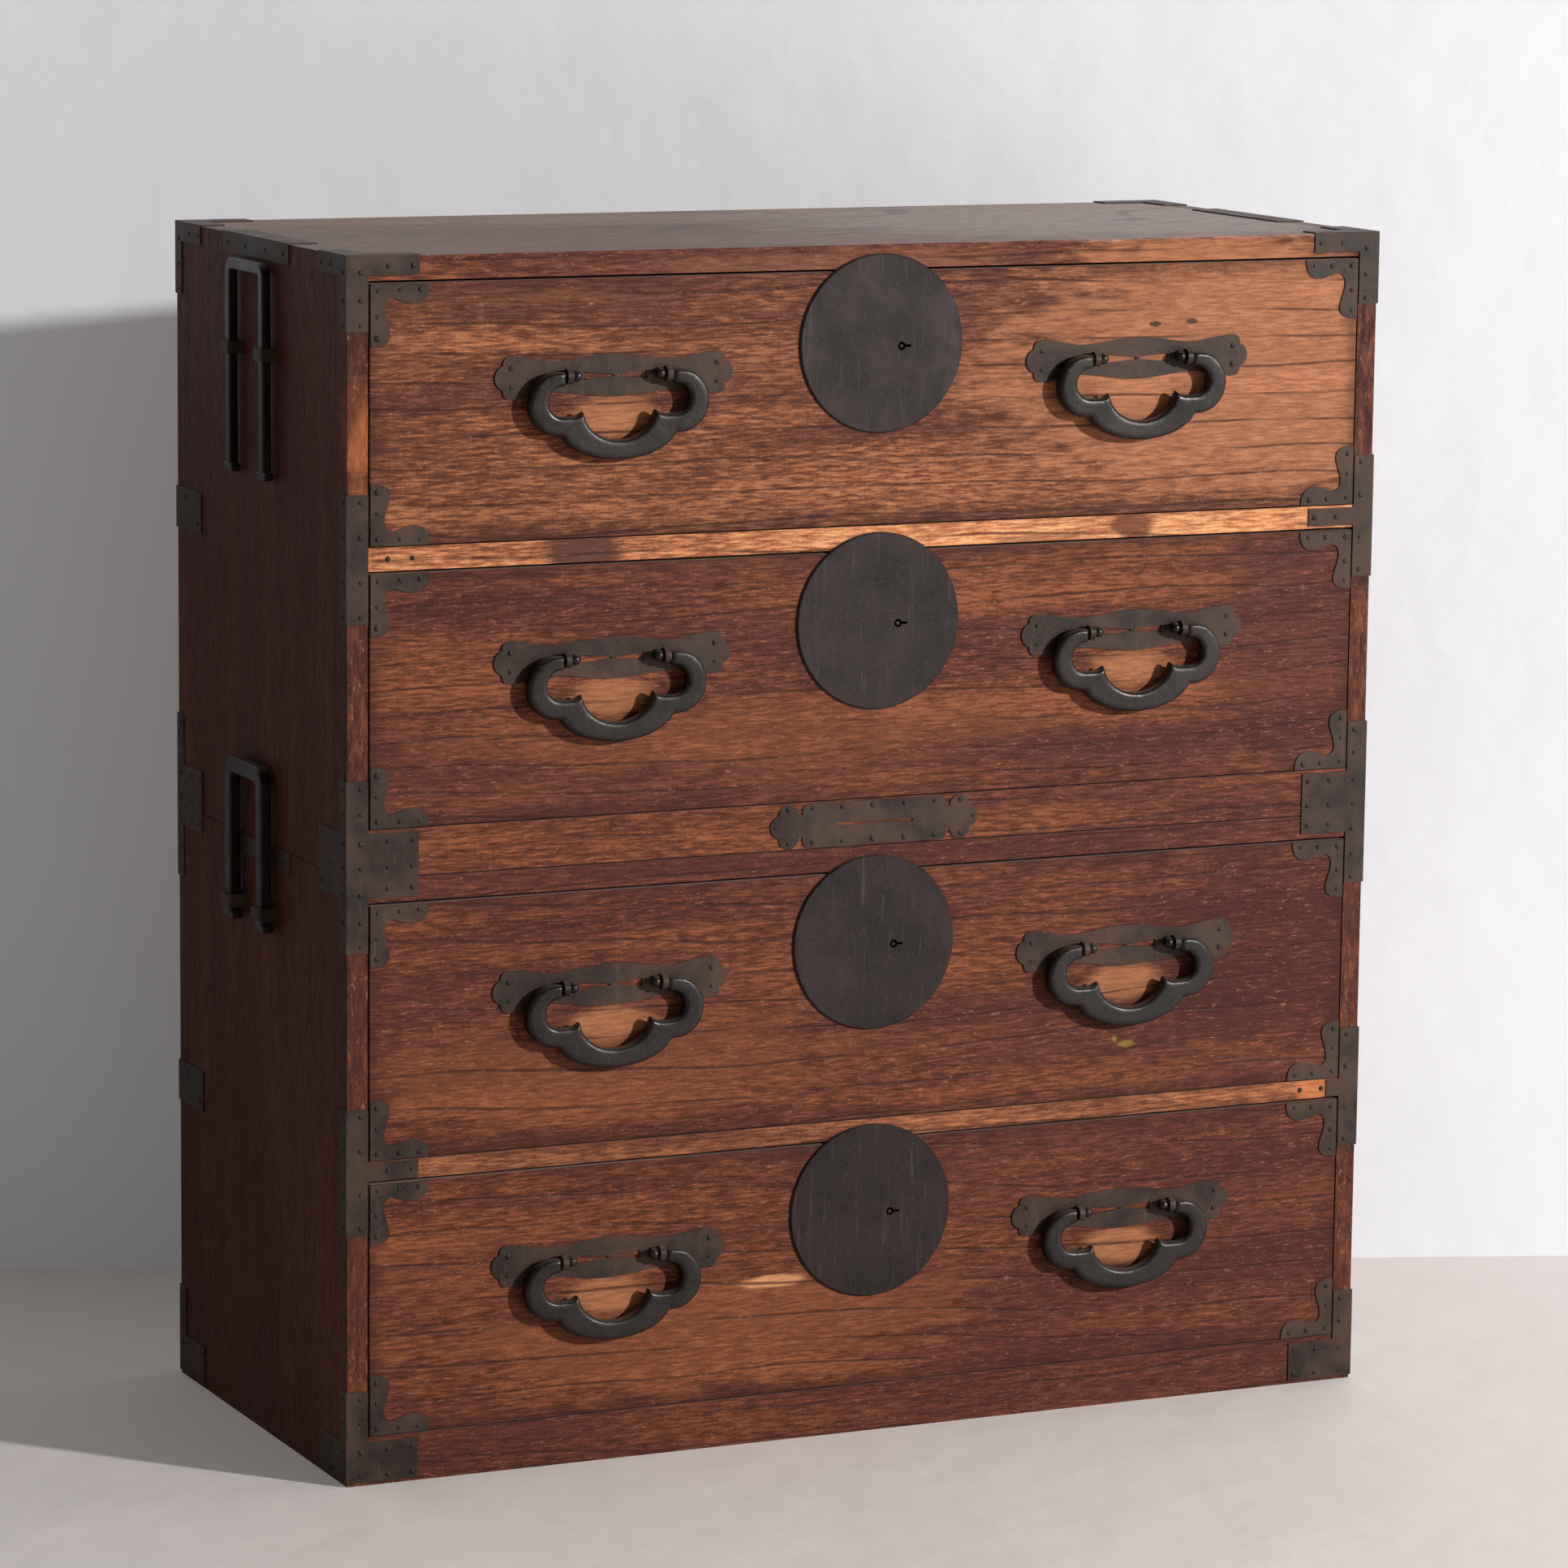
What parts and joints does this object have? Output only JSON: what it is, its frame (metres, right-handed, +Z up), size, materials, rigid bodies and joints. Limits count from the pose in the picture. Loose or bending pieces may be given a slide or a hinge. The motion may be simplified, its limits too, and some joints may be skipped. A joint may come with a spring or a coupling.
{
  "type": "clothing chest",
  "caption": "Stacking wooden clothing chest in two sections with iron-bound corners, lobed bail handles, round lock plates and side pole bails.",
  "frame": {"origin": "centre of the footprint on the floor (middle of the bounding box's base)", "axes": "+X to the right seen from the front, front faces -Y, +Z up"},
  "size_m": [0.9658, 0.4202, 0.9996],
  "materials": {
    "case_wood": "worn red-brown stain, satin",
    "front_wood": "worn red-brown stain, satin, grain along the width",
    "plain_wood": "bare, unfinished",
    "iron": "dark grey-brown patina, matte"
  },
  "bodies": {
    "lower_case": {"lower_sides": "case_wood", "lower_top": "case_wood", "lower_base_rail": "case_wood", "lower_bottom": "plain_wood", "lower_back": "plain_wood", "lower_divider": "plain_wood", "lower_irons": "iron", "lower_staples": "iron"},
    "upper_case": {"upper_sides": "case_wood", "upper_top": "case_wood", "upper_base_rail": "case_wood", "upper_bottom": "plain_wood", "upper_back": "plain_wood", "upper_divider": "plain_wood", "upper_irons": "iron", "upper_staples": "iron"},
    "lower_pole_bail_left": {"lower_pole_bail_left": "iron"},
    "lower_pole_bail_right": {"lower_pole_bail_right": "iron"},
    "upper_pole_bail_left": {"upper_pole_bail_left": "iron"},
    "upper_pole_bail_right": {"upper_pole_bail_right": "iron"},
    "drawer_1": {"drawer_1_front": "front_wood", "drawer_1_walls": "plain_wood", "drawer_1_bottom": "plain_wood", "drawer_1_lock_disc": "iron", "drawer_1_lock_case": "iron", "drawer_1_corner_irons": "iron", "drawer_1_handle_plates": "iron"},
    "drawer_1_lock_bolt": {"drawer_1_lock_bolt": "iron"},
    "drawer_1_bail_left": {"drawer_1_bail_left": "iron"},
    "drawer_1_bail_right": {"drawer_1_bail_right": "iron"},
    "drawer_2": {"drawer_2_front": "front_wood", "drawer_2_walls": "plain_wood", "drawer_2_bottom": "plain_wood", "drawer_2_lock_disc": "iron", "drawer_2_lock_case": "iron", "drawer_2_corner_irons": "iron", "drawer_2_handle_plates": "iron"},
    "drawer_2_lock_bolt": {"drawer_2_lock_bolt": "iron"},
    "drawer_2_bail_left": {"drawer_2_bail_left": "iron"},
    "drawer_2_bail_right": {"drawer_2_bail_right": "iron"},
    "drawer_3": {"drawer_3_front": "front_wood", "drawer_3_walls": "plain_wood", "drawer_3_bottom": "plain_wood", "drawer_3_lock_disc": "iron", "drawer_3_lock_case": "iron", "drawer_3_corner_irons": "iron", "drawer_3_handle_plates": "iron"},
    "drawer_3_lock_bolt": {"drawer_3_lock_bolt": "iron"},
    "drawer_3_bail_left": {"drawer_3_bail_left": "iron"},
    "drawer_3_bail_right": {"drawer_3_bail_right": "iron"},
    "drawer_4": {"drawer_4_front": "front_wood", "drawer_4_walls": "plain_wood", "drawer_4_bottom": "plain_wood", "drawer_4_lock_disc": "iron", "drawer_4_lock_case": "iron", "drawer_4_corner_irons": "iron", "drawer_4_handle_plates": "iron"},
    "drawer_4_lock_bolt": {"drawer_4_lock_bolt": "iron"},
    "drawer_4_bail_left": {"drawer_4_bail_left": "iron"},
    "drawer_4_bail_right": {"drawer_4_bail_right": "iron"}
  },
  "joints": [
    {"name": "upper_section_lift", "type": "slide", "parent": "lower_case", "child": "upper_case", "axis": [0, 0, 1], "range_m": [0, 0.25]},
    {"name": "lower_pole_bail_left_slide", "type": "slide", "parent": "lower_case", "child": "lower_pole_bail_left", "axis": [0, 0, 1], "range_m": [-0.096, 0.001]},
    {"name": "lower_pole_bail_right_slide", "type": "slide", "parent": "lower_case", "child": "lower_pole_bail_right", "axis": [0, 0, 1], "range_m": [-0.096, 0.001]},
    {"name": "upper_pole_bail_left_slide", "type": "slide", "parent": "upper_case", "child": "upper_pole_bail_left", "axis": [0, 0, 1], "range_m": [-0.052, 0.089]},
    {"name": "upper_pole_bail_right_slide", "type": "slide", "parent": "upper_case", "child": "upper_pole_bail_right", "axis": [0, 0, 1], "range_m": [-0.052, 0.089]},
    {"name": "drawer_1_slide", "type": "slide", "parent": "upper_case", "child": "drawer_1", "axis": [0, -1, 0], "range_m": [0, 0.3]},
    {"name": "drawer_1_bolt_throw", "type": "slide", "parent": "drawer_1", "child": "drawer_1_lock_bolt", "axis": [0, 0, 1], "range_m": [0, 0.011]},
    {"name": "drawer_1_bail_left_hinge", "type": "hinge", "parent": "drawer_1", "child": "drawer_1_bail_left", "pos_m": [-0.2375, -0.20365, 0.8994], "axis": [-1, 0, 0], "range_deg": [0, 150]},
    {"name": "drawer_1_bail_right_hinge", "type": "hinge", "parent": "drawer_1", "child": "drawer_1_bail_right", "pos_m": [0.2375, -0.20365, 0.8994], "axis": [-1, 0, 0], "range_deg": [0, 150]},
    {"name": "drawer_2_slide", "type": "slide", "parent": "upper_case", "child": "drawer_2", "axis": [0, -1, 0], "range_m": [0, 0.3]},
    {"name": "drawer_2_bolt_throw", "type": "slide", "parent": "drawer_2", "child": "drawer_2_lock_bolt", "axis": [0, 0, 1], "range_m": [0, 0.011]},
    {"name": "drawer_2_bail_left_hinge", "type": "hinge", "parent": "drawer_2", "child": "drawer_2_bail_left", "pos_m": [-0.2375, -0.20365, 0.67015], "axis": [-1, 0, 0], "range_deg": [0, 150]},
    {"name": "drawer_2_bail_right_hinge", "type": "hinge", "parent": "drawer_2", "child": "drawer_2_bail_right", "pos_m": [0.2375, -0.20365, 0.67015], "axis": [-1, 0, 0], "range_deg": [0, 150]},
    {"name": "drawer_3_slide", "type": "slide", "parent": "lower_case", "child": "drawer_3", "axis": [0, -1, 0], "range_m": [0, 0.3]},
    {"name": "drawer_3_bolt_throw", "type": "slide", "parent": "drawer_3", "child": "drawer_3_lock_bolt", "axis": [0, 0, 1], "range_m": [0, 0.011]},
    {"name": "drawer_3_bail_left_hinge", "type": "hinge", "parent": "drawer_3", "child": "drawer_3_bail_left", "pos_m": [-0.2375, -0.20365, 0.4007], "axis": [-1, 0, 0], "range_deg": [0, 150]},
    {"name": "drawer_3_bail_right_hinge", "type": "hinge", "parent": "drawer_3", "child": "drawer_3_bail_right", "pos_m": [0.2375, -0.20365, 0.4007], "axis": [-1, 0, 0], "range_deg": [0, 150]},
    {"name": "drawer_4_slide", "type": "slide", "parent": "lower_case", "child": "drawer_4", "axis": [0, -1, 0], "range_m": [0, 0.3]},
    {"name": "drawer_4_bolt_throw", "type": "slide", "parent": "drawer_4", "child": "drawer_4_lock_bolt", "axis": [0, 0, 1], "range_m": [0, 0.011]},
    {"name": "drawer_4_bail_left_hinge", "type": "hinge", "parent": "drawer_4", "child": "drawer_4_bail_left", "pos_m": [-0.2375, -0.20365, 0.1726], "axis": [-1, 0, 0], "range_deg": [0, 150]},
    {"name": "drawer_4_bail_right_hinge", "type": "hinge", "parent": "drawer_4", "child": "drawer_4_bail_right", "pos_m": [0.2375, -0.20365, 0.1726], "axis": [-1, 0, 0], "range_deg": [0, 150]}
  ]
}
